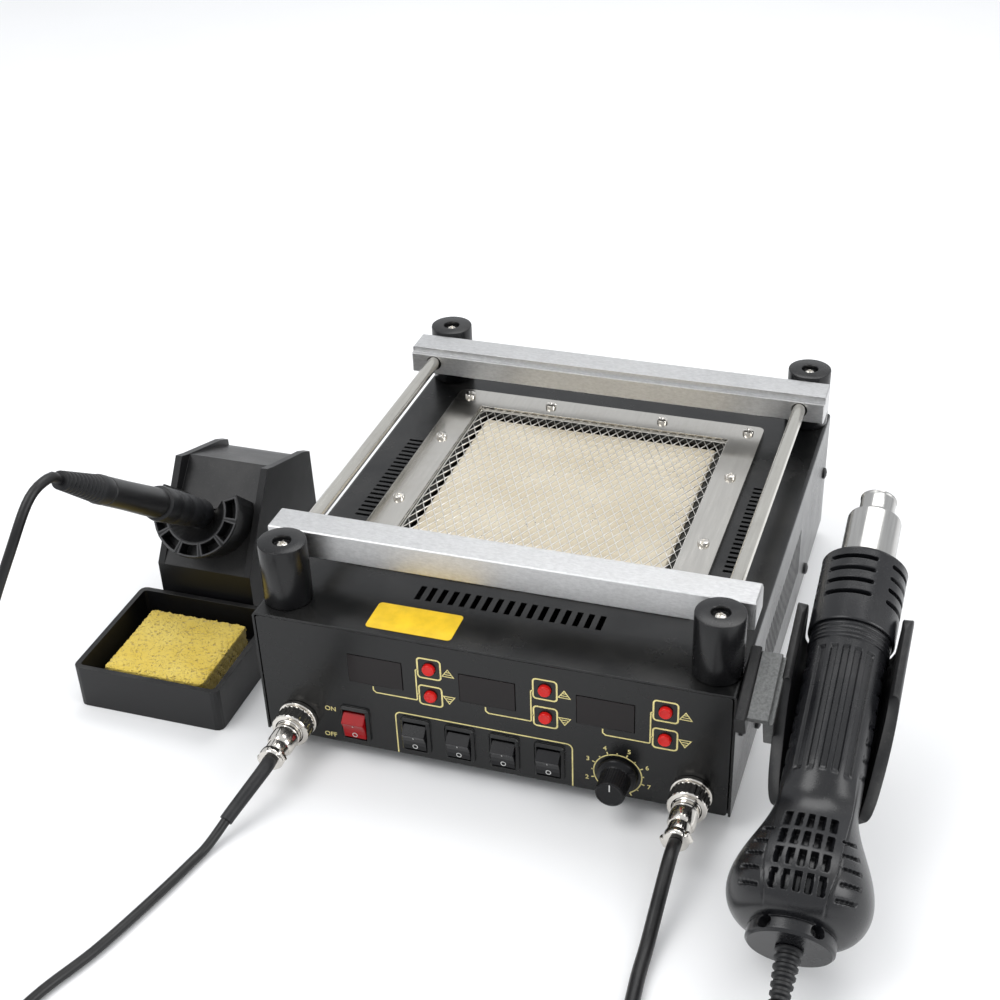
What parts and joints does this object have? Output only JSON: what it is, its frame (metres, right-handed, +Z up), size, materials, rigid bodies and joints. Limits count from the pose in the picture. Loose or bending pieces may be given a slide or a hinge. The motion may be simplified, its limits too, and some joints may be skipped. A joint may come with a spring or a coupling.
{
  "type": "bga rework station",
  "caption": "Bench rework station: infrared preheater with sliding board bars, hot-air gun in a side cradle, soldering iron in a sponge-tray stand.",
  "frame": {"origin": "on the bench surface, under the centre of the bounding box of the station, gun and iron stand without their cords and plugs", "axes": "+X from the iron stand across the front panel to the hot-air gun, +Y from the front panel to the rear wall, +Z up"},
  "size_m": [0.483, 0.5782, 0.1768],
  "materials": {
    "case_paint": "satin black powder coat",
    "black_plastic": "fine matte moulding",
    "rocker_plastic": "semi-gloss black",
    "rocker_red": "clear red, polished",
    "display_filter": "dark red polished filter",
    "button_red": "glossy red",
    "bright_metal": "bright plated",
    "brushed_metal": "fine brushed",
    "tray_steel": "dull formed sheet",
    "tile_ceramic": "cream bisque",
    "sponge_yellow": "open cellulose",
    "rubber": "matte black"
  },
  "bodies": {
    "station": {"base_pan": "case_paint", "top_cover": "case_paint", "front_panel": "case_paint", "foot_front_left": "rubber", "foot_front_right": "rubber", "foot_rear_left": "rubber", "foot_rear_right": "rubber", "post_front_left": "black_plastic", "post_front_right": "black_plastic", "post_rear_left": "black_plastic", "post_rear_right": "black_plastic", "rod_left": "bright_metal", "rod_right": "bright_metal", "heater_frame": "brushed_metal", "guard_grid": "bright_metal", "heater_tile": "tile_ceramic", "heater_tray": "tray_steel", "display_iron": "display_filter", "display_air": "display_filter", "display_heater": "display_filter", "socket_left": "bright_metal", "socket_right": "bright_metal", "plug_left": "bright_metal", "plug_right": "bright_metal", "gun_cord": "rubber", "gun_cord_end": "rubber", "gun_cord_coil": "rubber", "iron_cord_end": "rubber", "iron_cord_coil": "rubber", "cradle": "black_plastic", "cradle_bracket": "black_plastic", "stand_body": "black_plastic", "funnel": "black_plastic", "sponge_tray": "black_plastic", "sponge": "sponge_yellow", "mains_inlet": "black_plastic"},
    "front_bar": {"bar_front": "brushed_metal"},
    "rear_bar": {"bar_rear": "brushed_metal"},
    "rocker_power_body": {"rocker_power": "rocker_red"},
    "rocker_iron_body": {"rocker_iron": "rocker_plastic"},
    "rocker_air_body": {"rocker_air": "rocker_plastic"},
    "rocker_heater_body": {"rocker_heater": "rocker_plastic"},
    "rocker_fan_body": {"rocker_fan": "rocker_plastic"},
    "button_iron_up_body": {"button_iron_up": "button_red"},
    "button_iron_down_body": {"button_iron_down": "button_red"},
    "button_air_up_body": {"button_air_up": "button_red"},
    "button_air_down_body": {"button_air_down": "button_red"},
    "button_heater_up_body": {"button_heater_up": "button_red"},
    "button_heater_down_body": {"button_heater_down": "button_red"},
    "knob_body": {"knob": "black_plastic"},
    "iron": {"iron_barrel": "bright_metal", "iron_grip": "rubber", "iron_handle": "black_plastic", "iron_relief": "rubber", "iron_cord": "rubber"},
    "gun": {"gun_shell": "black_plastic", "gun_guard": "black_plastic", "gun_nozzle": "bright_metal", "gun_relief": "rubber"}
  },
  "joints": [
    {"name": "front_bar_slide", "type": "slide", "parent": "station", "child": "front_bar", "axis": [0, 1, 0], "range_m": [0, 0.085]},
    {"name": "rear_bar_slide", "type": "slide", "parent": "station", "child": "rear_bar", "axis": [0, -1, 0], "range_m": [0, 0.085]},
    {"name": "rocker_power_rock", "type": "hinge", "parent": "station", "child": "rocker_power_body", "pos_m": [-0.0547, -0.0768, 0.0229], "axis": [-1, 0, 0], "range_deg": [0, 32]},
    {"name": "rocker_iron_rock", "type": "hinge", "parent": "station", "child": "rocker_iron_body", "pos_m": [-0.0212, -0.0768, 0.0229], "axis": [-1, 0, 0], "range_deg": [0, 32]},
    {"name": "rocker_air_rock", "type": "hinge", "parent": "station", "child": "rocker_air_body", "pos_m": [0.0027, -0.0768, 0.0229], "axis": [-1, 0, 0], "range_deg": [0, 32]},
    {"name": "rocker_heater_rock", "type": "hinge", "parent": "station", "child": "rocker_heater_body", "pos_m": [0.0266, -0.0768, 0.0229], "axis": [-1, 0, 0], "range_deg": [0, 32]},
    {"name": "rocker_fan_rock", "type": "hinge", "parent": "station", "child": "rocker_fan_body", "pos_m": [0.0505, -0.0768, 0.0229], "axis": [-1, 0, 0], "range_deg": [0, 32]},
    {"name": "button_iron_up_press", "type": "slide", "parent": "station", "child": "button_iron_up_body", "axis": [0, 1, 0], "range_m": [0, 0.001], "stiffness_N_per_m": 300, "springref_m": -0.0005},
    {"name": "button_iron_down_press", "type": "slide", "parent": "station", "child": "button_iron_down_body", "axis": [0, 1, 0], "range_m": [0, 0.001], "stiffness_N_per_m": 300, "springref_m": -0.0005},
    {"name": "button_air_up_press", "type": "slide", "parent": "station", "child": "button_air_up_body", "axis": [0, 1, 0], "range_m": [0, 0.001], "stiffness_N_per_m": 300, "springref_m": -0.0005},
    {"name": "button_air_down_press", "type": "slide", "parent": "station", "child": "button_air_down_body", "axis": [0, 1, 0], "range_m": [0, 0.001], "stiffness_N_per_m": 300, "springref_m": -0.0005},
    {"name": "button_heater_up_press", "type": "slide", "parent": "station", "child": "button_heater_up_body", "axis": [0, 1, 0], "range_m": [0, 0.001], "stiffness_N_per_m": 300, "springref_m": -0.0005},
    {"name": "button_heater_down_press", "type": "slide", "parent": "station", "child": "button_heater_down_body", "axis": [0, 1, 0], "range_m": [0, 0.001], "stiffness_N_per_m": 300, "springref_m": -0.0005},
    {"name": "knob_turn", "type": "hinge", "parent": "station", "child": "knob_body", "pos_m": [0.0858, -0.0808, 0.0222], "axis": [0, -1, 0], "range_deg": [-150, 150]},
    {"name": "iron_lift", "type": "slide", "parent": "station", "child": "iron", "axis": [0, -0.788, 0.6157], "range_m": [0, 0.11]},
    {"name": "gun_lift", "type": "slide", "parent": "station", "child": "gun", "axis": [0, -0.3746, 0.9272], "range_m": [0, 0.09]}
  ]
}
